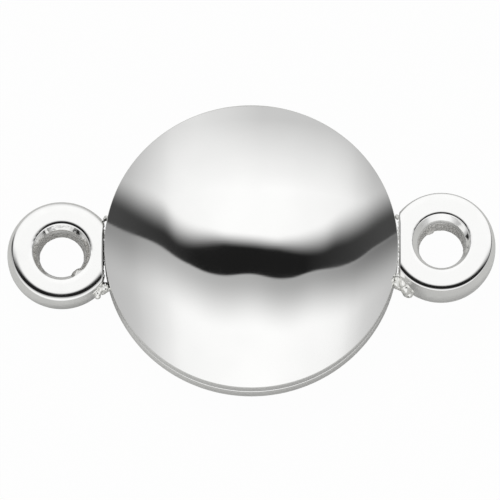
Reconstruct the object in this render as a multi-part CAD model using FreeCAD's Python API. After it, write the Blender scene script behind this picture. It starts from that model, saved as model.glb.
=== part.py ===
import FreeCAD, Part
import math
import os

from FreeCAD import Vector

# Magnetic jewelry clasp: two domed silver halves that meet at a flat joint and are held by a pair of
# disc magnets. Each half carries a cast ring loop, soldered to its skirt, for a jump ring.
# Frame: the origin is on the axis of the round body, midway between the two halves. +Z points up
# through the upper dome, +X towards the loop of the upper half and -X towards that of the lower half.
# All lengths are in millimetres.

# Round body
body_radius = 6.0
skirt_height = 0.68
parting_gap = 0.06
dome_rise = 2.0
cap_wall = 0.35
step_width = 0.08
skirt_edge_break = 0.09
rim_edge_break = 0.05
inner_dome_flats = 3
crown_flat_radius = 1.1

# Closing plate with its drawn magnet cup
plate_thickness = 0.35
plate_seat_width = 0.15
solder_film = 0.02
cup_wall = 0.22
cup_floor = 0.22
cup_edge_break = 0.18

# Disc magnets: the upper one stands proud as a plug, the lower one lies at the bottom of a socket
magnet_radius = 2.5
magnet_thickness = 1.0
magnet_edge_break = 0.1
plug_depth = 0.35
glue_clearance = 0.03
plug_clearance = 0.08

# Ring loops
loop_height = 1.7
loop_mid_height = 0.53
loop_outer_radius = 2.22
loop_upper_draft = 0.2
loop_lower_draft = 0.066
loop_widest_drop = 0.22
loop_face_break = 0.09
loop_filed_depth = 0.515
loop_gap = 0.04
eye_radius = 0.91
eye_land_height = 0.3
eye_land_rise = 0.25
eye_top_flare = 0.31
eye_bottom_flare = 0.13

# Solder joint between skirt and loop
solder_throat = 1.11
solder_skin = 0.025
solder_margin = 0.04
bead_radius = 0.26
small_bead_radius = 0.22
bead_offset = 0.13

# Derived places, measured away from the parting plane
rim_level = parting_gap / 2
step_level = rim_level + skirt_height
apex_level = step_level + dome_rise
dome_foot_radius = body_radius - skirt_edge_break - step_width
plate_radius = body_radius - cap_wall - solder_film
seat_level = rim_level + plate_thickness
loop_shoulder_radius = loop_outer_radius - loop_upper_draft
loop_face_radius = loop_shoulder_radius - loop_face_break
loop_flat_distance = loop_outer_radius - loop_filed_depth
loop_axis_x = body_radius + loop_gap + loop_flat_distance
eye_top_mouth = eye_radius + eye_top_flare
eye_bottom_mouth = eye_radius + eye_bottom_flare


def point(radius, level):
    return Vector(radius, 0, level)


def line(start, end):
    return Part.LineSegment(start, end).toShape()


def arc(start, middle, end):
    return Part.Arc(start, middle, end).toShape()


def closed_outline(corners):
    """Straight edges through the corners and back to the first."""
    return [line(start, end) for start, end in zip(corners, corners[1:] + corners[:1])]


def on_dome(foot, apex, radial):
    """Point at a radial distance on the sphere about the Z axis that runs from foot to apex."""
    rise = apex.z - foot.z
    radius = (foot.x ** 2 + rise ** 2) / (2 * rise)
    return point(radial, apex.z - radius + math.sqrt(radius ** 2 - radial ** 2))


def turned(edges):
    """Solid of revolution about the Z axis from the edges of a closed profile."""
    profile = Part.Face(Part.Wire(edges))
    return profile.revolve(Vector(0, 0, 0), Vector(0, 0, 1), 360)


def turned_over(shape):
    """The same shape as it sits in the lower half."""
    return shape.mirror(Vector(0, 0, 0), Vector(0, 0, 1))


def domed_cap():
    """Stamped cap: straight skirt, narrow step, dome, and a seat inside for the closing plate."""
    inner_radius = body_radius - cap_wall
    dome_foot = point(dome_foot_radius, step_level)
    apex = point(0, apex_level)
    skirt = [
        point(inner_radius, rim_level),
        point(body_radius - rim_edge_break, rim_level),
        point(body_radius, rim_level + rim_edge_break),
        point(body_radius, step_level - skirt_edge_break),
        point(body_radius - skirt_edge_break, step_level),
        dome_foot,
    ]
    # The crown is polished a little flat, so that the clasp lies still on it.
    crown_edge = on_dome(dome_foot, apex, crown_flat_radius)
    crown = point(0, crown_edge.z)
    # Inside, the dome is followed by a few straight flats, down to the seat of the plate.
    inner_apex = point(0, apex_level - cap_wall)
    seat_inner = point(inner_radius - plate_seat_width, seat_level)
    inside = [on_dome(seat_inner, inner_apex, seat_inner.x * step / inner_dome_flats)
              for step in range(inner_dome_flats + 1)]
    inside.append(point(inner_radius, seat_level))
    edges = [line(start, end) for start, end in zip(skirt, skirt[1:])]
    edges.append(arc(dome_foot, on_dome(dome_foot, apex, dome_foot.x / 2), crown_edge))
    edges.append(line(crown_edge, crown))
    edges.append(line(crown, inner_apex))
    edges += [line(start, end) for start, end in zip(inside, inside[1:])]
    edges.append(line(inside[-1], skirt[0]))
    return turned(edges)


def closing_plate(pocket_radius, pocket_level):
    """Flat plate that closes a cap, drawn at its centre into a cup for the magnet."""
    cup_radius = pocket_radius + cup_wall
    floor_level = pocket_level + cup_floor
    return turned(closed_outline([
        point(0, pocket_level),
        point(pocket_radius, pocket_level),
        point(pocket_radius, rim_level),
        point(plate_radius, rim_level),
        point(plate_radius, seat_level),
        point(cup_radius, seat_level),
        point(cup_radius, floor_level - cup_edge_break),
        point(cup_radius - cup_edge_break, floor_level),
        point(0, floor_level),
    ]))


def disc_magnet(low_level):
    """Plated disc with broken edges, its low face at the given level."""
    high_level = low_level + magnet_thickness
    flat_radius = magnet_radius - magnet_edge_break
    return turned(closed_outline([
        point(0, low_level),
        point(flat_radius, low_level),
        point(magnet_radius, low_level + magnet_edge_break),
        point(magnet_radius, high_level - magnet_edge_break),
        point(flat_radius, high_level),
        point(0, high_level),
    ]))


def ring_body():
    """Cast ring about the Z axis: ground faces, a wall that is widest below its middle, and an eye that
    narrows low down."""
    top = loop_height / 2
    bottom = -loop_height / 2
    land_bottom = bottom + eye_land_rise
    foot_radius = loop_outer_radius - loop_lower_draft
    outline = [
        point(foot_radius, bottom + loop_face_break),
        point(foot_radius - loop_face_break, bottom),
        point(eye_bottom_mouth, bottom),
        point(eye_radius, land_bottom),
        point(eye_radius, land_bottom + eye_land_height),
        point(eye_top_mouth, top),
        point(loop_face_radius, top),
        point(loop_shoulder_radius, top - loop_face_break),
    ]
    edges = [line(start, end) for start, end in zip(outline, outline[1:])]
    edges.append(arc(outline[-1], point(loop_outer_radius, -loop_widest_drop), outline[0]))
    return turned(edges)


def ring_loop(side):
    """A ring filed flat where it meets the skirt. side is 1 for the upper half and -1 for the lower."""
    ring = ring_body()
    filed = Part.makeBox(4 * loop_outer_radius, 4 * loop_outer_radius, 4 * loop_height)
    filed.translate(Vector(-loop_flat_distance - 4 * loop_outer_radius, -2 * loop_outer_radius,
                           -2 * loop_height))
    ring = ring.cut(filed)
    if side < 0:
        ring.rotate(Vector(0, 0, 0), Vector(0, 0, 1), 180)
    ring.translate(Vector(side * loop_axis_x, 0, side * loop_mid_height))
    return ring


def solder_blank():
    """Solder run along the seam of the upper half, before it is shaped by what it touches."""
    low = rim_level + solder_margin
    high = step_level - skirt_edge_break
    loop_half_width = math.sqrt(loop_outer_radius ** 2 - loop_flat_distance ** 2)
    # The solder ends inside the ring's wall, where it and the skirt are the throat's width apart.
    shifted_axis = loop_axis_x - solder_throat
    skirt_x = (body_radius ** 2 - loop_shoulder_radius ** 2 + shifted_axis ** 2) / (2 * shifted_axis)
    half_width = math.sqrt(body_radius ** 2 - skirt_x ** 2)
    loop_x = skirt_x + solder_throat
    inner_x = skirt_x - cap_wall / 2
    # Halfway it is hollow, down to a thin skin over the barrel of the ring.
    middle_x = (skirt_x + loop_x) / 2
    middle_width = math.sqrt(loop_outer_radius ** 2 - (loop_axis_x - middle_x) ** 2) + solder_skin
    # The outline closes inside the metal of the ring, halfway between its eye and its flat.
    ring_middle = (eye_bottom_mouth + loop_flat_distance) / 2
    ring_angle = math.asin(half_width / loop_shoulder_radius)
    corners = []
    for way in (-1, 1):
        corners.append((
            Vector(inner_x, way * half_width, low),
            Vector(skirt_x, way * half_width, low),
            Vector(middle_x, way * middle_width, low),
            Vector(loop_x, way * half_width, low),
            Vector(loop_axis_x - ring_middle * math.cos(ring_angle),
                   way * ring_middle * math.sin(ring_angle), low),
        ))
    near, far = corners
    back = Vector(loop_axis_x - ring_middle, 0, low)
    outline = Part.Wire([
        line(near[0], near[1]),
        arc(near[1], near[2], near[3]),
        line(near[3], near[4]),
        arc(near[4], back, far[4]),
        line(far[4], far[3]),
        arc(far[3], far[2], far[1]),
        line(far[1], far[0]),
        line(far[0], near[0]),
    ])
    run = Part.Face(outline).extrude(Vector(0, 0, high - low))
    # Two beads stand on the near side of the seam, where the solder was fed in.
    seam_x = body_radius + loop_gap
    for radius, x, level in (
        (bead_radius, seam_x + bead_offset, step_level),
        (small_bead_radius, seam_x - bead_offset, step_level - bead_radius),
    ):
        run = run.fuse(Part.makeSphere(radius, Vector(x, -loop_half_width - bead_offset, level)))
    return run


def shaped_solder(blank, loop):
    """Solder cut to the skirt and the loop that it joins."""
    skirt = Part.makeCylinder(body_radius, 4 * loop_height, Vector(0, 0, -2 * loop_height))
    return blank.cut(skirt).cut(loop)


def export(name, shape):
    shape.exportStep("parts/" + name + ".step")
    print(name, round(shape.Volume, 4), len(shape.Solids), shape.isValid())


def main():
    os.makedirs("parts", exist_ok=True)
    upper_pocket_radius = magnet_radius + glue_clearance
    lower_pocket_radius = magnet_radius + plug_clearance
    export("upper_cap", domed_cap())
    export("lower_cap", turned_over(domed_cap()))
    export("upper_closing_plate", closing_plate(upper_pocket_radius, magnet_thickness - plug_depth))
    export("lower_closing_plate",
           turned_over(closing_plate(lower_pocket_radius, magnet_thickness + plug_depth)))
    export("upper_magnet", disc_magnet(-plug_depth))
    export("lower_magnet", turned_over(disc_magnet(plug_depth)))
    upper_loop = ring_loop(1)
    lower_loop = ring_loop(-1)
    export("upper_loop", upper_loop)
    export("lower_loop", lower_loop)
    upper_blank = solder_blank()
    lower_blank = upper_blank.copy()
    lower_blank.rotate(Vector(0, 0, 0), Vector(0, 1, 0), 180)
    export("upper_loop_solder", shaped_solder(upper_blank, upper_loop))
    export("lower_loop_solder", shaped_solder(lower_blank, lower_loop))


main()
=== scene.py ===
import math

import bmesh
import bpy
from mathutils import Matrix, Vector


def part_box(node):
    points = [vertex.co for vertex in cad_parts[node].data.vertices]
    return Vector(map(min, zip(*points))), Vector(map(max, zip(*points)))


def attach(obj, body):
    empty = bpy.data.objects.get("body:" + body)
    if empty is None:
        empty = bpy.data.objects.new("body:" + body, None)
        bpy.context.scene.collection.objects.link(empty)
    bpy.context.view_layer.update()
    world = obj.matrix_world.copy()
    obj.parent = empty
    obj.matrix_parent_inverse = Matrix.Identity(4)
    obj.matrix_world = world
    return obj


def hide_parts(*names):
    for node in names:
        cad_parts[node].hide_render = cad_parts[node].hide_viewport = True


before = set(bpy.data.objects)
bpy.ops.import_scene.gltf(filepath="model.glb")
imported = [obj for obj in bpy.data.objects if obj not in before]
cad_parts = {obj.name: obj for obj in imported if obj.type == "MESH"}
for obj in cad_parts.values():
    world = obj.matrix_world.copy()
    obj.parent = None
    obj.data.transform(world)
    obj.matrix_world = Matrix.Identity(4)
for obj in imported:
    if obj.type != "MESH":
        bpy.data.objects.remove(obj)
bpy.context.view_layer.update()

# The looks of a round magnetic clasp in polished sterling silver. Lengths are in millimetres, as on the
# bench, and each tree turns them to metres at its end. The sizes repeat those of the solids, with the
# body and the rings a hair smaller, so that polishing waves don't pass the solids' box.
MM = 0.001
AROUND = 288
MARKS = ("inset", "filed", "burr", "wave", "cast", "lean")

body_radius = 5.998
rim_level = 0.03
step_level = 0.71
wave_allowance = 0.008
crown_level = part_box("upper_cap")[1][2] / MM - wave_allowance
cap_wall = 0.35
step_width = 0.08
skirt_edge_round = 0.09
worn_edge_radius = 5.975
worn_edge_rise = 0.05
turned_line_depth = 0.003
turned_line_spacing = 0.05
seat_level = 0.38
plate_seat_width = 0.15
plate_radius = 5.63
cup_wall = 0.22
cup_floor = 0.22
magnet_radius = 2.5
magnet_thickness = 1.0
plug_depth = 0.35
glue_clearance = 0.03
plug_clearance = 0.08
loop_half_height = 0.85
loop_mid_height = 0.53
loop_outer_radius = 2.219
loop_shoulder_radius = 2.07
loop_foot_radius = 2.154
loop_widest_level = -0.22
loop_wall_end = -0.79
loop_flat_distance = 1.705
loop_axis_x = 7.745
eye_radius = 0.91
eye_waist_low = -0.6
eye_waist_high = -0.3
eye_lip_radius = 1.18
eye_bottom_mouth = 1.04
eye_aslant = 0.05


def linear(code, alpha=1.0):
    """Linear colour from an sRGB hex value."""
    parts = [int(code[n:n + 2], 16) / 255 for n in (1, 3, 5)]
    return [c / 12.92 if c <= 0.04045 else ((c + 0.055) / 1.055) ** 2.4 for c in parts] + [alpha]


def add(tree, kind, inputs=None, stops=None, **settings):
    """Add a node with its settings, its input values or links, and the stops of its ramp or curve."""
    node = tree.nodes.new(kind)
    for name, value in settings.items():
        setattr(node, name, value)
    for key, value in (inputs or {}).items():
        if isinstance(value, bpy.types.NodeSocket):
            tree.links.new(value, node.inputs[key])
        else:
            node.inputs[key].default_value = value
    if stops and hasattr(node, "color_ramp"):
        elements = node.color_ramp.elements
        elements.remove(elements[1])
        for place, colour in stops[1:]:
            elements.new(place).color = colour
        elements[0].position, elements[0].color = stops[0]
    elif stops:
        curve = node.mapping.curves[0]
        curve.points[0].location, curve.points[1].location = stops[0], stops[-1]
        for place, value in stops[1:-1]:
            curve.points.new(place, value)
        node.mapping.update()
    return node


def new_tree(name, fields):
    """Geometry tree with one geometry in and out and the named inputs."""
    tree = bpy.data.node_groups.new(name, "GeometryNodeTree")
    tree.interface.new_socket("Geometry", in_out="INPUT", socket_type="NodeSocketGeometry")
    for field, kind in fields:
        tree.interface.new_socket(field, in_out="INPUT", socket_type="NodeSocket" + kind)
    tree.interface.new_socket("Geometry", in_out="OUTPUT", socket_type="NodeSocketGeometry")
    return tree, tree.nodes.new("NodeGroupInput").outputs


def finish_tree(tree, geometry, material):
    """Turn millimetres to metres, realise what is instanced and give it its material."""
    small = add(tree, "GeometryNodeTransform", {"Geometry": geometry, "Scale": (MM, MM, MM)})
    real = add(tree, "GeometryNodeRealizeInstances", {0: small.outputs[0]})
    dressed = add(tree, "GeometryNodeSetMaterial", {"Geometry": real.outputs[0], "Material": material})
    add(tree, "NodeGroupOutput", {0: dressed.outputs[0]})


def turned_tree():
    """A profile turned about the Z axis, as on a lathe, with one side that may be filed flat."""
    tree, given = new_tree("turned piece", [
        ("Around", "Int"), ("Flat Distance", "Float"), ("Flat Angle", "Float"), ("Corner Round", "Float"),
        ("Centre", "Vector"), ("Lean", "Vector"), ("Burr Angle", "Float"), ("Burr Height", "Float"),
        ("Wave Height", "Float"), ("Wave Length", "Float"), ("Cast Height", "Float"),
        ("Cast Grain", "Float"), ("Seed", "Float"), ("Material", "Material")])
    rows = add(tree, "GeometryNodeAttributeDomainSize", {0: given["Geometry"]}, component="MESH")
    columns = add(tree, "ShaderNodeMath", {0: given["Around"], 1: 1.0}, operation="ADD")
    grid = add(tree, "GeometryNodeMeshGrid", {
        "Vertices X": columns.outputs[0], "Vertices Y": rows.outputs[0]})
    index = add(tree, "GeometryNodeInputIndex")
    row = add(tree, "ShaderNodeMath", {0: index.outputs[0], 1: rows.outputs[0]}, operation="MODULO")
    share = add(tree, "ShaderNodeMath", {0: index.outputs[0], 1: rows.outputs[0]}, operation="DIVIDE")
    column = add(tree, "ShaderNodeMath", {0: share.outputs[0]}, operation="FLOOR")
    turn = add(tree, "ShaderNodeMath", {0: column.outputs[0], 1: given["Around"]}, operation="DIVIDE")
    angle = add(tree, "ShaderNodeMath", {0: turn.outputs[0], 1: math.tau}, operation="MULTIPLY")
    position = add(tree, "GeometryNodeInputPosition")
    sampled = add(tree, "GeometryNodeSampleIndex", {
        "Geometry": given["Geometry"], "Value": position.outputs[0], "Index": row.outputs[0]},
        data_type="FLOAT_VECTOR", domain="POINT")
    place = add(tree, "ShaderNodeSeparateXYZ", {0: sampled.outputs[0]})
    marks = {}
    for mark in MARKS:
        named = add(tree, "GeometryNodeInputNamedAttribute", {"Name": mark}, data_type="FLOAT")
        marks[mark] = add(tree, "GeometryNodeSampleIndex", {
            "Geometry": given["Geometry"], "Value": named.outputs[0], "Index": row.outputs[0]},
            data_type="FLOAT", domain="POINT").outputs[0]
    # The filed flat: no point may lie further out in its direction than its distance less the inset.
    away = add(tree, "ShaderNodeMath", {0: angle.outputs[0], 1: given["Flat Angle"]}, operation="SUBTRACT")
    facing = add(tree, "ShaderNodeMath", {0: away.outputs[0]}, operation="COSINE")
    facing = add(tree, "ShaderNodeMath", {0: facing.outputs[0], 1: 0.01}, operation="MAXIMUM")
    reach = add(tree, "ShaderNodeMath", {0: given["Flat Distance"], 1: marks["inset"]},
                operation="SUBTRACT")
    limit = add(tree, "ShaderNodeMath", {0: reach.outputs[0], 1: facing.outputs[0]}, operation="DIVIDE")
    radius = add(tree, "ShaderNodeMath", {
        0: place.outputs[0], 1: limit.outputs[0], 2: given["Corner Round"]}, operation="SMOOTH_MIN")
    removed = add(tree, "ShaderNodeMath", {0: place.outputs[0], 1: limit.outputs[0]}, operation="SUBTRACT")
    # This mark of the filed flat against the body greys the ring's colour, partly as painted shade of the
    # crevice.
    filed = add(tree, "ShaderNodeMapRange", {
        "Value": removed.outputs[0], "From Min": -0.06, "From Max": 0.0, "To Max": marks["filed"]})
    # One burr that the casting left in the eye.
    beside = add(tree, "ShaderNodeMath", {0: angle.outputs[0], 1: given["Burr Angle"]}, operation="SUBTRACT")
    beside = add(tree, "ShaderNodeMath", {0: beside.outputs[0]}, operation="COSINE")
    burr = add(tree, "ShaderNodeMapRange", {
        "Value": beside.outputs[0], "From Min": 0.96, "From Max": 1.0, "To Max": given["Burr Height"]},
        interpolation_type="SMOOTHSTEP")
    burr = add(tree, "ShaderNodeMath", {0: burr.outputs[0], 1: marks["burr"]}, operation="MULTIPLY")
    radius = add(tree, "ShaderNodeMath", {0: radius.outputs[0], 1: burr.outputs[0]}, operation="SUBTRACT")
    cosine = add(tree, "ShaderNodeMath", {0: angle.outputs[0]}, operation="COSINE")
    sine = add(tree, "ShaderNodeMath", {0: angle.outputs[0]}, operation="SINE")
    x = add(tree, "ShaderNodeMath", {0: radius.outputs[0], 1: cosine.outputs[0]}, operation="MULTIPLY")
    y = add(tree, "ShaderNodeMath", {0: radius.outputs[0], 1: sine.outputs[0]}, operation="MULTIPLY")
    spun = add(tree, "ShaderNodeCombineXYZ", {0: x.outputs[0], 1: y.outputs[0], 2: place.outputs[2]})
    lean = add(tree, "ShaderNodeVectorMath", {0: given["Lean"], "Scale": marks["lean"]}, operation="SCALE")
    shape = add(tree, "GeometryNodeSetPosition", {
        "Geometry": grid.outputs[0], "Position": spun.outputs[0], "Offset": lean.outputs[0]})
    # Slow waves are what polishing leaves, and the grain is what casting leaves.
    moves = []
    for mark, height, length in (("wave", "Wave Height", "Wave Length"),
                                 ("cast", "Cast Height", "Cast Grain")):
        per = add(tree, "ShaderNodeMath", {0: 1.0, 1: given[length]}, operation="DIVIDE")
        noise = add(tree, "ShaderNodeTexNoise", {
            "Vector": position.outputs[0], "W": given["Seed"], "Scale": per.outputs[0], "Detail": 1.0},
            noise_dimensions="4D")
        level = add(tree, "ShaderNodeMath", {0: noise.outputs[0], 1: 0.5}, operation="SUBTRACT")
        much = add(tree, "ShaderNodeMath", {0: given[height], 1: marks[mark]}, operation="MULTIPLY")
        moves.append(add(tree, "ShaderNodeMath", {0: level.outputs[0], 1: much.outputs[0]},
                         operation="MULTIPLY"))
    total = add(tree, "ShaderNodeMath", {0: moves[0].outputs[0], 1: moves[1].outputs[0]}, operation="ADD")
    # The buff reached deeper into the far side of the eye than into its other sides, and ends raggedly.
    far = add(tree, "ShaderNodeMath", {0: sine.outputs[0], 1: 0.0}, operation="MAXIMUM")
    edge = add(tree, "ShaderNodeTexNoise", {"Vector": position.outputs[0], "Scale": 5.0, "Detail": 2.0})
    ragged = add(tree, "ShaderNodeMath", {0: edge.outputs[0], 1: 0.4}, operation="MULTIPLY")
    start = add(tree, "ShaderNodeMath", {0: far.outputs[0], 1: 0.2, 2: ragged.outputs[0]},
                operation="MULTIPLY_ADD")
    full = add(tree, "ShaderNodeMath", {0: start.outputs[0], 1: 0.15}, operation="ADD")
    raw = add(tree, "ShaderNodeMapRange", {
        "Value": marks["cast"], "From Min": start.outputs[0], "From Max": full.outputs[0]})
    for name, value in (("as_cast", raw), ("as_filed", filed)):
        shape = add(tree, "GeometryNodeStoreNamedAttribute", {
            "Geometry": shape.outputs[0], "Name": name, "Value": value.outputs[0]},
            data_type="FLOAT", domain="POINT")
    # Seam and poles are drawn from the same places, so they may not be pushed apart.
    shape = add(tree, "GeometryNodeStoreNamedAttribute", {
        "Geometry": shape.outputs[0], "Name": "push", "Value": total.outputs[0]},
        data_type="FLOAT", domain="POINT")
    shape = add(tree, "GeometryNodeMergeByDistance", {"Geometry": shape.outputs[0], "Distance": 0.0005})
    normal = add(tree, "GeometryNodeInputNormal")
    pushed = add(tree, "GeometryNodeInputNamedAttribute", {"Name": "push"}, data_type="FLOAT")
    push = add(tree, "ShaderNodeVectorMath", {0: normal.outputs[0], "Scale": pushed.outputs[0]},
               operation="SCALE")
    shape = add(tree, "GeometryNodeSetPosition", {"Geometry": shape.outputs[0], "Offset": push.outputs[0]})
    shape = add(tree, "GeometryNodeTransform", {"Geometry": shape.outputs[0], "Translation": given["Centre"]})
    smooth = add(tree, "GeometryNodeSetShadeSmooth", {"Geometry": shape.outputs[0]})
    finish_tree(tree, smooth.outputs[0], given["Material"])
    return tree


def solder_tree():
    """Solder as it runs: beads along a seam, melted into one skin that is uneven as it froze."""
    tree, given = new_tree("solder run", [
        ("Bead Spacing", "Float"), ("Bead Radius", "Float"), ("Scatter", "Float"), ("Voxel", "Float"),
        ("Ripple Height", "Float"), ("Ripple Length", "Float"), ("Seed", "Int"), ("Material", "Material")])
    curve = add(tree, "GeometryNodeMeshToCurve", {"Mesh": given["Geometry"]})
    run = add(tree, "GeometryNodeResampleCurve", {"Curve": curve.outputs[0], "Length": given["Bead Spacing"]},
              mode="LENGTH")
    points = add(tree, "GeometryNodeCurveToPoints", {"Curve": run.outputs[0]}, mode="EVALUATED")
    low = add(tree, "ShaderNodeMath", {0: given["Scatter"], 1: -1.0}, operation="MULTIPLY")
    low = add(tree, "ShaderNodeCombineXYZ", {0: low.outputs[0], 1: low.outputs[0], 2: low.outputs[0]})
    high = add(tree, "ShaderNodeCombineXYZ", {0: given["Scatter"], 1: given["Scatter"], 2: given["Scatter"]})
    scatter = add(tree, "FunctionNodeRandomValue", {
        0: low.outputs[0], 1: high.outputs[0], "Seed": given["Seed"]}, data_type="FLOAT_VECTOR")
    moved = add(tree, "GeometryNodeSetPosition", {
        "Geometry": points.outputs[0], "Offset": scatter.outputs[0]})
    bead = add(tree, "GeometryNodeMeshIcoSphere", {"Radius": given["Bead Radius"], "Subdivisions": 3})
    size = add(tree, "GeometryNodeInputNamedAttribute", {"Name": "size"}, data_type="FLOAT")
    uneven = add(tree, "FunctionNodeRandomValue", {2: 0.8, 3: 1.2, "Seed": given["Seed"]}, data_type="FLOAT")
    scale = add(tree, "ShaderNodeMath", {0: size.outputs[0], 1: uneven.outputs[1]}, operation="MULTIPLY")
    beads = add(tree, "GeometryNodeInstanceOnPoints", {
        "Points": moved.outputs[0], "Instance": bead.outputs[0], "Scale": scale.outputs[0]})
    real = add(tree, "GeometryNodeRealizeInstances", {0: beads.outputs[0]})
    volume = add(tree, "GeometryNodeMeshToVolume", {
        "Mesh": real.outputs[0], "Voxel Size": given["Voxel"]}, resolution_mode="VOXEL_SIZE")
    skin = add(tree, "GeometryNodeVolumeToMesh", {"Volume": volume.outputs[0], "Threshold": 0.1})
    for _ in range(3):
        position = add(tree, "GeometryNodeInputPosition")
        soft = add(tree, "GeometryNodeBlurAttribute", {"Value": position.outputs[0], "Iterations": 2},
                   data_type="FLOAT_VECTOR")
        skin = add(tree, "GeometryNodeSetPosition", {
            "Geometry": skin.outputs[0], "Position": soft.outputs[0]})
    position = add(tree, "GeometryNodeInputPosition")
    per = add(tree, "ShaderNodeMath", {0: 1.0, 1: given["Ripple Length"]}, operation="DIVIDE")
    noise = add(tree, "ShaderNodeTexNoise", {
        "Vector": position.outputs[0], "Scale": per.outputs[0], "Detail": 2.0}, noise_dimensions="3D")
    level = add(tree, "ShaderNodeMath", {0: noise.outputs[0], 1: 0.5}, operation="SUBTRACT")
    much = add(tree, "ShaderNodeMath", {0: level.outputs[0], 1: given["Ripple Height"]},
               operation="MULTIPLY")
    normal = add(tree, "GeometryNodeInputNormal")
    push = add(tree, "ShaderNodeVectorMath", {0: normal.outputs[0], "Scale": much.outputs[0]},
               operation="SCALE")
    skin = add(tree, "GeometryNodeSetPosition", {"Geometry": skin.outputs[0], "Offset": push.outputs[0]})
    smooth = add(tree, "GeometryNodeSetShadeSmooth", {"Geometry": skin.outputs[0]})
    finish_tree(tree, smooth.outputs[0], given["Material"])
    return tree


def made(name, points, edges, marks, tree, values, body, node):
    """Run a tree on a line of points, keep the result as a plain mesh and let it stand for its solid."""
    drawing = bpy.data.meshes.new(name + "_drawing")
    drawing.from_pydata(points, edges, [])
    for mark, numbers in marks.items():
        drawing.attributes.new(mark, "FLOAT", "POINT").data.foreach_set("value", numbers)
    piece = bpy.data.objects.new(name, drawing)
    bpy.context.scene.collection.objects.link(piece)
    modifier = piece.modifiers.new("shape", "NODES")
    modifier.node_group = tree
    for item in tree.interface.items_tree:
        if item.in_out == "INPUT" and item.name in values:
            modifier[item.identifier] = values[item.name]
    graph = bpy.context.evaluated_depsgraph_get()
    mesh = bpy.data.meshes.new_from_object(piece.evaluated_get(graph), depsgraph=graph)
    piece.modifiers.clear()
    piece.data = mesh
    mesh.name = name
    bpy.data.meshes.remove(drawing)
    shell = bmesh.new()
    shell.from_mesh(mesh)
    if shell.calc_volume(signed=True) < 0:
        bmesh.ops.reverse_faces(shell, faces=shell.faces)
    shell.to_mesh(mesh)
    shell.free()
    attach(piece, body)
    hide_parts(node)
    return piece


def rounded(corners, closed=False, steps=4):
    """Profile through (radius, level, rounding) corners, each rounded, with a point just before and after
    the rounding that keeps the faces beside it flat."""
    path = []
    count = len(corners)
    for n, (radius, level, rounding) in enumerate(corners):
        here = Vector((radius, level))
        if rounding <= 0 or (not closed and n in (0, count - 1)):
            path.append(tuple(here))
            continue
        before = Vector(corners[n - 1][:2]) - here
        after = Vector(corners[(n + 1) % count][:2]) - here
        half = before.angle(after) / 2
        length = min(rounding / math.tan(half), before.length * 0.42, after.length * 0.42)
        start = before.normalized() * length
        end = after.normalized() * length
        path.append(tuple(here + start * 1.15))
        for step in range(steps + 1):
            share = step / steps
            path.append(tuple(here + start * (1 - share) ** 2 + end * share ** 2))
        path.append(tuple(here + end * 1.15))
    return path


def dome(foot_radius, foot_level, top_level, reach, count, power=1.0):
    """Points up a sphere to its crown, closer together at the start. The sphere stands on its foot, and
    the points start at the radius that it reaches, which may lie past the foot."""
    rise = top_level - foot_level
    radius = (foot_radius ** 2 + rise ** 2) / (2 * rise)
    widest = math.asin(reach / radius)
    angles = [widest * (1 - (n / count) ** power) for n in range(count + 1)]
    return [(radius * math.sin(a), top_level - radius + radius * math.cos(a)) for a in angles]


def turned(name, path, body, node, slot, material, side=1, marks=None, **values):
    """One turned piece. side is 1 as drawn and -1 turned over into the lower half."""
    points = [(radius, 0.0, side * level) for radius, level in path]
    edges = [(n, n + 1) for n in range(len(points) - 1)]
    rows = {mark: [0.0] * len(path) for mark in MARKS}
    rows.update(marks or {})
    inputs = {"Around": AROUND, "Flat Distance": 100.0, "Flat Angle": 0.0, "Corner Round": 0.0,
              "Centre": (0.0, 0.0, 0.0), "Lean": (0.0, 0.0, 0.0), "Burr Angle": 0.0, "Burr Height": 0.0,
              "Wave Height": 0.0, "Wave Length": 3.0, "Cast Height": 0.0, "Cast Grain": 0.2, "Seed": 1.0,
              "Material": material}
    inputs.update(values)
    return made(name, points, edges, rows, TURNED, inputs, body, node)


def polished_sterling_silver():
    """Sterling silver, stamped and buffed to a mirror: near-white metal that shows the room sharply, with
    a faint haze where the buff passed less and hair-fine lines left by it."""
    material = bpy.data.materials.new("polished sterling silver")
    material.use_nodes = True
    tree = material.node_tree
    tree.nodes.clear()
    at = add(tree, "ShaderNodeTexCoord").outputs["Object"]
    # Haze in patches of about 2 mm.
    haze = add(tree, "ShaderNodeTexNoise", {"Vector": at, "Scale": 1 / (2.0 * MM), "Detail": 3.0})
    roughness = add(tree, "ShaderNodeMapRange", {
        "Value": haze.outputs[0], "From Min": 0.3, "From Max": 0.7, "To Min": 0.035, "To Max": 0.075})
    tint = add(tree, "ShaderNodeTexNoise", {"Vector": at, "Scale": 1 / (3.0 * MM), "Detail": 2.0})
    colour = add(tree, "ShaderNodeValToRGB", {0: tint.outputs[0]}, stops=[
        (0.35, linear("#F6F6F5")), (0.65, linear("#FAFAF9"))])
    # Buffing lines are a few hundredths of a millimetre apart and run roughly one way.
    drawn = add(tree, "ShaderNodeMapping", {
        "Vector": at, "Rotation": (0.0, 0.0, 0.6),
        "Scale": (1 / (1.6 * MM), 1 / (0.05 * MM), 1 / (0.4 * MM))})
    lines = add(tree, "ShaderNodeTexNoise", {"Vector": drawn.outputs[0], "Scale": 1.0, "Detail": 2.0})
    bump = add(tree, "ShaderNodeBump", {
        "Height": lines.outputs[0], "Strength": 0.06, "Distance": 0.002 * MM})
    shader = add(tree, "ShaderNodeBsdfPrincipled", {
        "Base Color": colour.outputs[0], "Metallic": 1.0, "Roughness": roughness.outputs[0],
        "Normal": bump.outputs[0]})
    add(tree, "ShaderNodeOutputMaterial", {0: shader.outputs[0]})
    return material


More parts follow.
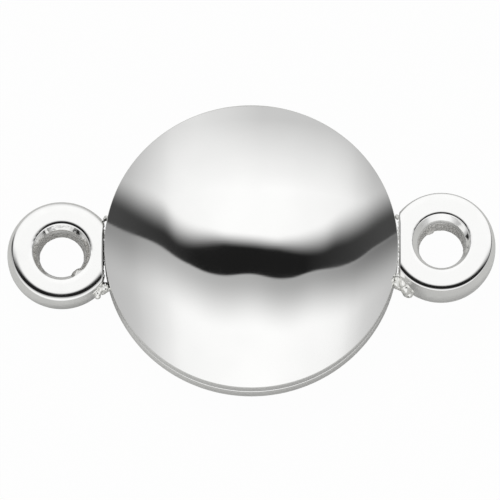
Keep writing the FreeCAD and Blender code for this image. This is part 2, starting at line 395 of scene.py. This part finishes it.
def cast_sterling_silver():
    """Sterling silver, lost-wax cast: ground and buffed bright on the outside, left as cast inside the
    eye, where the skin is grainy, greyer and glitters, and matt and grey where a file and the torch have
    been, against the body; that grey is partly painted shade of the crevice between ring and body."""
    material = bpy.data.materials.new("cast sterling silver")
    material.use_nodes = True
    tree = material.node_tree
    tree.nodes.clear()
    at = add(tree, "ShaderNodeTexCoord").outputs["Object"]
    cast = add(tree, "ShaderNodeAttribute", attribute_name="as_cast").outputs["Fac"]
    filed = add(tree, "ShaderNodeAttribute", attribute_name="as_filed").outputs["Fac"]
    haze = add(tree, "ShaderNodeTexNoise", {"Vector": at, "Scale": 1 / (0.8 * MM), "Detail": 3.0})
    buffed = add(tree, "ShaderNodeMapRange", {
        "Value": haze.outputs[0], "From Min": 0.3, "From Max": 0.7, "To Min": 0.05, "To Max": 0.11})
    # The casting grain is about 0.07 mm.
    grain = add(tree, "ShaderNodeTexNoise", {"Vector": at, "Scale": 1 / (0.07 * MM), "Detail": 3.0})
    raw = add(tree, "ShaderNodeMapRange", {
        "Value": grain.outputs[0], "From Min": 0.35, "From Max": 0.65, "To Min": 0.18, "To Max": 0.42})
    roughness = add(tree, "ShaderNodeMix", {
        0: cast, 2: buffed.outputs[0], 3: raw.outputs[0]}, data_type="FLOAT")
    roughness = add(tree, "ShaderNodeMix", {0: filed, 2: roughness.outputs[0], 3: 0.5}, data_type="FLOAT")
    skin = add(tree, "ShaderNodeValToRGB", {0: grain.outputs[0]}, stops=[
        (0.36, linear("#BDBBB7")), (0.58, linear("#FEFDFB"))])
    bright = add(tree, "ShaderNodeValToRGB", {0: haze.outputs[0]}, stops=[
        (0.35, linear("#F5F5F4")), (0.65, linear("#F9F9F8"))])
    colour = add(tree, "ShaderNodeMix", {
        0: cast, 6: bright.outputs[0], 7: skin.outputs[0]}, data_type="RGBA")
    # The filed flat against the body is painted grey, partly for the torch and partly as painted shade of the
    # crevice.
    colour = add(tree, "ShaderNodeMix", {
        0: filed, 6: colour.outputs[2], 7: linear("#8C8A86")}, data_type="RGBA")
    height = add(tree, "ShaderNodeMath", {0: grain.outputs[0], 1: cast}, operation="MULTIPLY")
    bump = add(tree, "ShaderNodeBump", {
        "Height": height.outputs[0], "Strength": 0.8, "Distance": 0.05 * MM})
    shader = add(tree, "ShaderNodeBsdfPrincipled", {
        "Base Color": colour.outputs[2], "Metallic": 1.0, "Roughness": roughness.outputs[0],
        "Normal": bump.outputs[0]})
    add(tree, "ShaderNodeOutputMaterial", {0: shader.outputs[0]})
    return material


def silver_solder():
    """Silver solder, torch run and tumble polished: bright like the silver but a little warmer, with
    pinholes where the flux boiled, painted dark grey as their shade."""
    material = bpy.data.materials.new("tumbled silver solder")
    material.use_nodes = True
    tree = material.node_tree
    tree.nodes.clear()
    at = add(tree, "ShaderNodeTexCoord").outputs["Object"]
    # Pinholes of a few hundredths of a millimetre, about a third of a millimetre apart, with painted shade in
    # them.
    cells = add(tree, "ShaderNodeTexVoronoi", {"Vector": at, "Scale": 1 / (0.3 * MM)})
    pits = add(tree, "ShaderNodeMapRange", {
        "Value": cells.outputs[0], "From Min": 0.06, "From Max": 0.16})
    # The pinholes are painted dark grey as their shade.
    colour = add(tree, "ShaderNodeValToRGB", {0: pits.outputs[0]}, stops=[
        (0.0, linear("#6C6B68")), (1.0, linear("#F0F0ED"))])
    haze = add(tree, "ShaderNodeTexNoise", {"Vector": at, "Scale": 1 / (0.3 * MM), "Detail": 3.0})
    roughness = add(tree, "ShaderNodeMapRange", {
        "Value": haze.outputs[0], "From Min": 0.3, "From Max": 0.7, "To Min": 0.08, "To Max": 0.2})
    bump = add(tree, "ShaderNodeBump", {
        "Height": pits.outputs[0], "Strength": 0.6, "Distance": 0.04 * MM})
    shader = add(tree, "ShaderNodeBsdfPrincipled", {
        "Base Color": colour.outputs[0], "Metallic": 1.0, "Roughness": roughness.outputs[0],
        "Normal": bump.outputs[0]})
    add(tree, "ShaderNodeOutputMaterial", {0: shader.outputs[0]})
    return material


def satin_sterling_silver():
    """Sterling silver, pressed, pickled and rubbed on fine paper: a soft white sheen with fine rings from
    the rubbing and no mirror image."""
    material = bpy.data.materials.new("satin sterling silver")
    material.use_nodes = True
    tree = material.node_tree
    tree.nodes.clear()
    at = add(tree, "ShaderNodeTexCoord").outputs["Object"]
    flat = add(tree, "ShaderNodeVectorMath", {0: at, 1: (1.0, 1.0, 0.0)}, operation="MULTIPLY")
    out = add(tree, "ShaderNodeVectorMath", {0: flat.outputs[0]}, operation="LENGTH")
    wander = add(tree, "ShaderNodeTexNoise", {"Vector": at, "Scale": 1 / (1.5 * MM), "Detail": 3.0})
    # The rings are 0.06 mm apart, a coarse paper's grit, so that they show.
    rings = add(tree, "ShaderNodeMath", {0: out.outputs["Value"], 1: 1 / (0.06 * MM)}, operation="MULTIPLY")
    rings = add(tree, "ShaderNodeMath", {0: wander.outputs[0], 1: 9.0, 2: rings.outputs[0]},
                operation="MULTIPLY_ADD")
    fine = add(tree, "ShaderNodeTexNoise", {"W": rings.outputs[0], "Scale": 1.0, "Detail": 2.0},
               noise_dimensions="1D")
    roughness = add(tree, "ShaderNodeMapRange", {
        "Value": wander.outputs[0], "From Min": 0.3, "From Max": 0.7, "To Min": 0.24, "To Max": 0.36})
    colour = add(tree, "ShaderNodeValToRGB", {0: wander.outputs[0]}, stops=[
        (0.35, linear("#E3E0DA")), (0.65, linear("#EFEDE9"))])
    bump = add(tree, "ShaderNodeBump", {
        "Height": fine.outputs[0], "Strength": 0.25, "Distance": 0.01 * MM})
    shader = add(tree, "ShaderNodeBsdfPrincipled", {
        "Base Color": colour.outputs[0], "Metallic": 1.0, "Roughness": roughness.outputs[0],
        "Normal": bump.outputs[0]})
    add(tree, "ShaderNodeOutputMaterial", {0: shader.outputs[0]})
    return material


def bright_nickel_plating():
    """Nickel plating, barrel plated on a sintered magnet: a slightly warm mirror over a faint orange-peel
    grain, with fine scuffs."""
    material = bpy.data.materials.new("bright nickel plating")
    material.use_nodes = True
    tree = material.node_tree
    tree.nodes.clear()
    at = add(tree, "ShaderNodeTexCoord").outputs["Object"]
    peel = add(tree, "ShaderNodeTexNoise", {"Vector": at, "Scale": 1 / (0.25 * MM), "Detail": 2.0})
    scuff = add(tree, "ShaderNodeTexNoise", {"Vector": at, "Scale": 1 / (0.9 * MM), "Detail": 4.0})
    roughness = add(tree, "ShaderNodeMapRange", {
        "Value": scuff.outputs[0], "From Min": 0.35, "From Max": 0.7, "To Min": 0.08, "To Max": 0.22})
    colour = add(tree, "ShaderNodeValToRGB", {0: scuff.outputs[0]}, stops=[
        (0.35, linear("#CFC9BE")), (0.7, linear("#DAD5CB"))])
    bump = add(tree, "ShaderNodeBump", {
        "Height": peel.outputs[0], "Strength": 0.15, "Distance": 0.01 * MM})
    shader = add(tree, "ShaderNodeBsdfPrincipled", {
        "Base Color": colour.outputs[0], "Metallic": 1.0, "Roughness": roughness.outputs[0],
        "Normal": bump.outputs[0]})
    add(tree, "ShaderNodeOutputMaterial", {0: shader.outputs[0]})
    return material


def cap(name, node, side, body, silver):
    """Stamped cap: dome, narrow step, straight skirt with a rounded edge, and the hollow inside. On the
    upper half the buff has worn the step away into a soft shoulder."""
    inner = body_radius - cap_wall
    foot = body_radius - skirt_edge_round - step_width
    seat = inner - plate_seat_width
    inside = dome(seat, seat_level, crown_level - cap_wall, seat, 24)
    inside.reverse()
    rim_radius = body_radius - 0.012
    rim = rounded([
        (seat, seat_level, 0.0),
        (inner, seat_level, 0.02),
        (inner, rim_level, 0.03),
        (rim_radius, rim_level, 0.04),
        (rim_radius, rim_level + 0.1, 0.0),
    ])
    if side > 0:
        outside = dome(foot, step_level + worn_edge_rise, crown_level, worn_edge_radius, 90, 1.3)
        # Fine lines from the turning, and then the worn shoulder up to the dome.
        skirt = [(body_radius - turned_line_depth * (n % 2), rim_level + 0.12 + turned_line_spacing * n)
                 for n in range(5)]
        edge = outside[0][1]
        skirt += [(body_radius - 0.001, edge - 0.15), (body_radius - 0.002, edge - 0.06),
                  (body_radius - 0.006, edge - 0.025), (worn_edge_radius + 0.003, edge - 0.003)]
    else:
        outside = dome(foot, step_level, crown_level, foot, 90, 1.3)
        # The skirt is a faint barrel, widest at its middle.
        middle = 0.38
        skirt = [(body_radius - 0.15 * (level - middle) ** 2, level)
                 for level in (0.2, 0.28, middle, 0.48, 0.56)]
        skirt += rounded([(body_radius, 0.58, 0.0), (body_radius, step_level, skirt_edge_round),
                          (foot, step_level, 0.0)])[1:]
        skirt.append((foot + 0.003, step_level))
    path = inside + rim[1:] + skirt + outside
    wave = [0.0] * (len(path) - len(outside)) + [min(1.0, n / 12) for n in range(len(outside))]
    return turned(name, path, body, node, "silver", silver, side=side, marks={"wave": wave},
                  **{"Wave Height": 0.012, "Wave Length": 3.5, "Seed": 3.0 + side})


def closing_plate(name, node, side, body, satin, pocket_radius, pocket_level):
    """Plate that closes a cap, drawn at its centre into the cup for the magnet."""
    cup = pocket_radius + cup_wall
    path = rounded([
        (0.0, pocket_level, 0.0),
        (pocket_radius, pocket_level, 0.06),
        (pocket_radius, rim_level, 0.05),
        (plate_radius, rim_level, 0.03),
        (plate_radius, seat_level, 0.03),
        (cup, seat_level, 0.1),
        (cup, pocket_level + cup_floor, 0.18),
        (0.0, pocket_level + cup_floor, 0.0),
    ])
    return turned(name, path, body, node, "silver", satin, side=side)


def magnet(name, node, side, body, plating, low):
    """Plated disc magnet with broken edges."""
    path = rounded([
        (0.0, low, 0.0),
        (magnet_radius, low, 0.1),
        (magnet_radius, low + magnet_thickness, 0.1),
        (0.0, low + magnet_thickness, 0.0),
    ], steps=6)
    return turned(name, path, body, node, "magnet_plating", plating, side=side)


def ring_loop(name, node, side, body, cast_silver, face_radius, worn_radius, mouth_radius, lean,
              burr_angle, burr_level):
    """Cast ring, soldered on by its filed flat. Its face is buffed, so that it rolls softly over into the
    wall and into the eye, and the eye is left as it was cast further down."""
    top = loop_half_height
    # The buff leaves a slope of about 10 degrees where each roll turns over its edge.
    worn_slope = 0.18
    # The mouth is countersunk, over a steep waist.
    eye = [
        (eye_radius, eye_waist_low),
        (eye_radius, eye_waist_high),
        (eye_radius + 0.02, 0.1),
        (eye_radius + 0.05, 0.42),
        (eye_radius + 0.09, top - 0.27),
        (eye_radius + 0.17, top - 0.16),
        (eye_radius + 0.25, top - 0.05),
    ]
    wide = mouth_radius - eye_lip_radius
    lip = [(mouth_radius - wide * (1 - n / 6), top - worn_slope * wide * (1 - n / 6) ** 2 / 2)
           for n in range(7)]
    wide = worn_radius - face_radius
    edge = [(face_radius + wide * n / 8, top - worn_slope * wide * (n / 8) ** 2 / 2) for n in range(9)]
    # Past the worn slope the edge turns on to about 30 degrees, and then sharply into the wall.
    low = edge[-1][1]
    turn = loop_shoulder_radius - 0.02 - worn_radius
    edge += [(worn_radius + turn * n / 4, low - turn * (worn_slope * n / 4 + 0.2 * (n / 4) ** 2))
             for n in range(1, 5)]
    edge.append((loop_shoulder_radius - 0.005, edge[-1][1] - 0.015))
    # The wall falls away faster at its ends than at its widest place.
    wall_top = edge[-1][1] - 0.02
    wall = []
    for n in range(14):
        level = wall_top + (loop_wall_end - wall_top) * n / 13
        away = level - loop_widest_level
        wall.append((loop_outer_radius - (0.15 * away ** 3 if away > 0 else 0.234 * away ** 2), level))
    foot = rounded([
        wall.pop() + (0.0,),
        (loop_foot_radius, -top, 0.06),
        (eye_bottom_mouth, -top, 0.05),
        (eye_radius, eye_waist_low, 0.0),
    ])
    # Extra rows in the eye carry the casting grain.
    path = []
    for start, end in zip(eye, eye[1:]):
        count = max(1, round(math.dist(start, end) / 0.04))
        path += [tuple(Vector(start).lerp(Vector(end), n / count)) for n in range(count)]
    raw_rows = len(path)
    path.append(eye[-1])
    path += lip + [(mouth_radius + 0.05, top), (face_radius - 0.05, top)] + edge
    filed_row = len(path) - 2
    path += wall + foot
    marks = {mark: [0.0] * len(path) for mark in MARKS}
    lowest_lean = -0.5
    for n, (radius, level) in enumerate(path):
        if n <= raw_rows:
            marks["cast"][n] = min(1.0, max(0.1, (top - 0.25 - level) / 0.5))
            marks["burr"][n] = max(0.0, 1 - abs(level - burr_level) / 0.3)
        elif n < raw_rows + 4:
            marks["cast"][n] = 0.1
        in_eye = radius < (mouth_radius + face_radius) / 2
        marks["inset"][n] = -50.0 if in_eye else 0.25 * max(0.0, loop_shoulder_radius - radius)
        # The filed flat is greyed, partly as painted shade of the crevice against the body.
        marks["filed"][n] = 1.0 if n >= filed_row and not in_eye else 0.0
        marks["lean"][n] = (level - lowest_lean) / (top - lowest_lean)
        if n <= raw_rows or n == len(path) - 1:
            # The eye runs a little aslant, towards the front.
            marks["lean"][n] -= eye_aslant / lean[1] * min(1.0, (top - level) / 0.3)
    return turned(name, path, body, node, "silver", cast_silver, marks=marks,
                  **{"Flat Distance": loop_flat_distance, "Flat Angle": math.pi if side > 0 else 0.0,
                     "Corner Round": 0.03, "Centre": (side * loop_axis_x, 0.0, side * loop_mid_height),
                     "Lean": lean, "Burr Angle": burr_angle, "Burr Height": 0.11, "Cast Height": 0.08,
                     "Cast Grain": 0.18, "Seed": 5.0 + side, "Around": 240})


def solder(name, node, side, body, metal, runs):
    """Solder between skirt and ring. Each run is a list of (x, y, level, size) as in the upper half."""
    points = []
    edges = []
    sizes = []
    for run in runs:
        for n, (x, y, level, size) in enumerate(run):
            if n:
                edges.append((len(points) - 1, len(points)))
            points.append((side * x, y, side * level))
            sizes.append(size)
    return made(name, points, edges, {"size": sizes}, SOLDER, {
        "Bead Spacing": 0.05, "Bead Radius": 0.2, "Scatter": 0.03, "Voxel": 0.02,
        "Ripple Height": 0.05, "Ripple Length": 0.15, "Seed": 7 + side, "Material": metal},
        body, node)


def studio_world():
    """Soft white studio as the metal sees it: bright all round and overhead, with a dark strip above the
    camera. A direction is read as degrees from straight up."""
    world = bpy.data.worlds.new("studio")
    bpy.context.scene.world = world
    world.use_nodes = True
    tree = world.node_tree
    tree.nodes.clear()
    way = add(tree, "ShaderNodeTexCoord").outputs["Generated"]
    parts = add(tree, "ShaderNodeSeparateXYZ", {0: way})
    tilt = add(tree, "ShaderNodeMath", {0: parts.outputs[2]}, operation="ARCCOSINE")
    tilt = add(tree, "ShaderNodeMath", {0: tilt.outputs[0]}, operation="DEGREES")
    level = add(tree, "ShaderNodeVectorMath", {0: way, 1: (1.0, 1.0, 0.0)}, operation="MULTIPLY")
    level = add(tree, "ShaderNodeVectorMath", {0: level.outputs[0]}, operation="NORMALIZE")
    spread = add(tree, "ShaderNodeVectorMath", {0: level.outputs[0], "Scale": tilt.outputs[0]},
                 operation="SCALE")
    across = add(tree, "ShaderNodeSeparateXYZ", {0: spread.outputs[0]})
    right = across.outputs[0]
    back = across.outputs[1]
    share = add(tree, "ShaderNodeMapRange", {"Value": right, "From Min": -90.0, "From Max": 90.0})
    aside = add(tree, "ShaderNodeMath", {0: right}, operation="ABSOLUTE").outputs[0]
    # Edges of the dark strip, in degrees towards the back, for degrees to the right.
    low_edge = [(-90, 52), (-68, 32), (-60, 25), (-45, 15), (-30, 3), (-15, -4), (0, -4), (15, -6), (30, -1),
                (45, 4), (60, 17), (70, 27), (90, 50)]
    high_edge = [(-90, 78), (-63, 49), (-52, 38), (-42, 30), (-30, 17.5), (-15, 14), (0, 12), (15, 11),
                 (30, 14), (41, 22), (51, 29), (62, 40), (90, 70)]
    edges = []
    for line in (low_edge, high_edge):
        stops = [((x + 90) / 180, (y + 20) / 100) for x, y in line]
        curve = add(tree, "ShaderNodeFloatCurve", {"Value": share.outputs[0]}, stops=stops)
        degrees = add(tree, "ShaderNodeMath", {0: curve.outputs[0], 1: 100.0, 2: -20.0},
                      operation="MULTIPLY_ADD")
        edges.append(add(tree, "ShaderNodeMath", {0: back, 1: degrees.outputs[0]}, operation="SUBTRACT"))
    past_low = add(tree, "ShaderNodeMapRange", {
        "Value": edges[0].outputs[0], "From Min": -0.9, "From Max": 0.9}, interpolation_type="SMOOTHSTEP")
    soft = add(tree, "ShaderNodeMapRange", {
        "Value": aside, "From Min": 12.0, "From Max": 45.0, "To Min": 4.0, "To Max": 11.0})
    sharp = add(tree, "ShaderNodeMath", {0: soft.outputs[0], 1: -1.0}, operation="MULTIPLY")
    past_high = add(tree, "ShaderNodeMapRange", {
        "Value": edges[1].outputs[0], "From Min": sharp.outputs[0], "From Max": soft.outputs[0]},
        interpolation_type="SMOOTHSTEP")
    # In front of the strip the light starts dim, more so on the right, and grows towards the horizon.
    dim = add(tree, "ShaderNodeMapRange", {
        "Value": right, "From Min": -50.0, "From Max": 60.0, "To Min": 0.52, "To Max": 0.3})
    front = add(tree, "ShaderNodeMapRange", {
        "Value": edges[0].outputs[0], "From Min": 0.0, "From Max": -27.0, "To Min": dim.outputs[0],
        "To Max": 1.0}, interpolation_type="SMOOTHSTEP")
    horizon = add(tree, "ShaderNodeMapRange", {
        "Value": right, "From Min": -25.0, "From Max": 5.0, "To Min": 0.78, "To Max": 0.6})
    far = add(tree, "ShaderNodeMapRange", {
        "Value": back, "From Min": 38.0, "From Max": 80.0, "To Min": 1.0, "To Max": horizon.outputs[0]})
    bright = add(tree, "ShaderNodeMix", {
        0: past_low.outputs[0], 2: front.outputs[0], 3: far.outputs[0]}, data_type="FLOAT")
    # The walls at the sides give less light than those in front and behind.
    walls = [(-90, 0.5), (-63, 0.56), (-52, 0.7), (-42, 0.86), (-30, 1.0), (30, 1.0), (41, 0.96), (51, 0.8),
             (62, 0.62), (90, 0.5)]
    sides = add(tree, "ShaderNodeFloatCurve", {"Value": share.outputs[0]},
                stops=[((x + 90) / 180, y) for x, y in walls])
    bright = add(tree, "ShaderNodeMath", {0: bright.outputs[0], 1: sides.outputs[0]}, operation="MULTIPLY")
    strip = add(tree, "ShaderNodeMath", {0: past_low.outputs[0], 1: past_high.outputs[0]},
                operation="SUBTRACT", use_clamp=True)
    deep = add(tree, "ShaderNodeMapRange", {
        "Value": aside, "From Min": 25.0, "From Max": 65.0, "To Min": 0.012, "To Max": 0.06})
    room = add(tree, "ShaderNodeMix", {
        0: strip.outputs[0], 2: bright.outputs[0], 3: deep.outputs[0]}, data_type="FLOAT")
    seen = add(tree, "ShaderNodeLightPath").outputs["Is Camera Ray"]
    room = add(tree, "ShaderNodeMix", {0: seen, 2: room.outputs[0], 3: 1.0}, data_type="FLOAT")
    light = add(tree, "ShaderNodeBackground", {0: room.outputs[0], 1: 1.0})
    add(tree, "ShaderNodeOutputWorld", {0: light.outputs[0]})


def studio_floor():
    """Pale grey paper under the clasp. Lit for white, it shows almost white to the eye and keeps a faint
    shadow, and the metal sees it a little lighter than it is."""
    shown_to_camera = 0.975
    shown_in_metal = 0.1
    mesh = bpy.data.meshes.new("studio_floor")
    half = 0.6
    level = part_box("lower_cap")[0][2]
    corners = [(-half, -half, level), (half, -half, level), (half, half, level), (-half, half, level)]
    mesh.from_pydata(corners, [], [(0, 1, 2, 3)])
    floor = bpy.data.objects.new("studio_floor", mesh)
    bpy.context.scene.collection.objects.link(floor)
    material = bpy.data.materials.new("pale backdrop paper")
    material.use_nodes = True
    tree = material.node_tree
    tree.nodes.clear()
    path = add(tree, "ShaderNodeLightPath")
    mirrored = add(tree, "ShaderNodeMath", {
        0: path.outputs["Is Glossy Ray"], 1: path.outputs["Is Transmission Ray"]}, operation="MAXIMUM")
    part_shown = add(tree, "ShaderNodeMath", {0: mirrored.outputs[0], 1: shown_in_metal},
                     operation="MULTIPLY")
    share = add(tree, "ShaderNodeMath", {
        0: path.outputs["Is Camera Ray"], 1: shown_to_camera, 2: part_shown.outputs[0]},
        operation="MULTIPLY_ADD")
    paper = add(tree, "ShaderNodeBsdfDiffuse", {0: linear("#B8B8B6")})
    glow = add(tree, "ShaderNodeEmission", {0: linear("#FFFFFF"), 1: 1.0})
    mixed = add(tree, "ShaderNodeMixShader", {0: share.outputs[0], 1: paper.outputs[0], 2: glow.outputs[0]})
    # From below the paper is clear, so that the underside can be looked at.
    below = add(tree, "ShaderNodeNewGeometry").outputs["Backfacing"]
    clear = add(tree, "ShaderNodeBsdfTransparent")
    sided = add(tree, "ShaderNodeMixShader", {0: below, 1: mixed.outputs[0], 2: clear.outputs[0]})
    add(tree, "ShaderNodeOutputMaterial", {0: sided.outputs[0]})
    mesh.materials.append(material)


def studio_lamp():
    """One wide soft lamp overhead, which draws the shadow on the paper."""
    light = bpy.data.lights.new("softbox", "AREA")
    light.shape = "DISK"
    light.size = 0.35
    light.energy = 1.6
    lamp = bpy.data.objects.new("softbox", light)
    lamp.location = (-0.1, 0.15, 0.6)
    lamp.rotation_euler = (Vector(lamp.location)).to_track_quat("Z", "Y").to_euler()
    lamp.visible_glossy = False
    bpy.context.scene.collection.objects.link(lamp)


def camera():
    """The photograph's view: from the front, 74 degrees up, through a very long lens."""
    data = bpy.data.cameras.new("camera")
    view = bpy.data.objects.new("camera", data)
    bpy.context.scene.collection.objects.link(view)
    bpy.context.scene.camera = view
    elevation = math.radians(74.0)
    distance = 0.5
    picture_width = 20.41 * MM
    right, up = -0.049 * MM, 0.014 * MM
    aim = Vector((right, up * math.sin(elevation), up * math.cos(elevation)))
    data.sensor_width = 36.0
    data.lens = data.sensor_width * distance / picture_width
    view.location = aim + distance * Vector((0.0, -math.cos(elevation), math.sin(elevation)))
    view.rotation_euler = (math.pi / 2 - elevation, 0.0, 0.0)


TURNED = turned_tree()
SOLDER = solder_tree()

silver = polished_sterling_silver()
cast_silver = cast_sterling_silver()
solder_metal = silver_solder()
satin = satin_sterling_silver()
plating = bright_nickel_plating()

# The two rings aren't quite alike: the radii where the face starts to roll and where it is worn through,
# the mouth of the eye, how the casting leans, and the angle and level of its burr.
rings = {
    "upper": (1.83, 2.01, 1.29, (0.0, -0.03, 0.0), 2.09, -0.3),
    "lower": (1.75, 1.95, 1.34, (0.0, -0.15, 0.0), -0.9, 0.6),
}
# Solder as (x, y, level, size) along runs in the upper half, turned over for the lower: a fillet up each
# corner between skirt and ring, a skin in the seam, and the lumps on the near side where it was fed in.
far_corner = [(5.96, 1.38, 0.0, 0.5), (5.97, 1.36, 0.3, 0.35)]
near_corner = [(5.94, -1.5, 0.1, 1.0), (5.95, -1.5, 0.45, 0.8)]
seam = [(6.01, -1.3, 0.15, 0.25), (6.02, 1.3, 0.15, 0.25)]
runs = {
    "upper": [
        far_corner, near_corner, seam,
        [(6.02, -1.35, 0.6, 0.8), (6.06, -1.58, 0.35, 1.4)],
        [(6.12, -1.4, 0.8, 0.4), (6.16, -1.54, 0.68, 0.7), (6.26, -1.74, 0.42, 1.0), (6.4, -1.9, 0.15, 0.9)],
    ],
    "lower": [
        far_corner, near_corner, seam,
        [(6.0, -1.45, 0.1, 0.7), (6.04, -1.6, 0.4, 1.1)],
        [(6.12, -1.6, 0.05, 0.5), (6.3, -1.84, 0.3, 0.7)],
    ],
}

for half, side, magnet_body in (("upper", 1, "plug"), ("lower", -1, "lower_half")):
    body = half + "_half"
    cap(half + "_domed_cap", half + "_cap", side, body, silver)
    pocket = magnet_radius + (glue_clearance if side > 0 else plug_clearance)
    depth = magnet_thickness - side * plug_depth
    closing_plate(half + "_plate_with_cup", half + "_closing_plate", side, body, satin, pocket, depth)
    magnet(half + "_disc_magnet", half + "_magnet", side, magnet_body, plating, -side * plug_depth)
    ring = ring_loop(half + "_ring", half + "_loop", side, body, cast_silver, *rings[half])
    # The photograph's dome shows no image of the upper ring, which stands close beside it.
    ring.visible_glossy = side < 0
    solder(half + "_solder_run", half + "_loop_solder", side, body, solder_metal, runs[half])

bpy.context.scene.view_settings.view_transform = "Standard"
studio_world()
studio_floor()
studio_lamp()
camera()
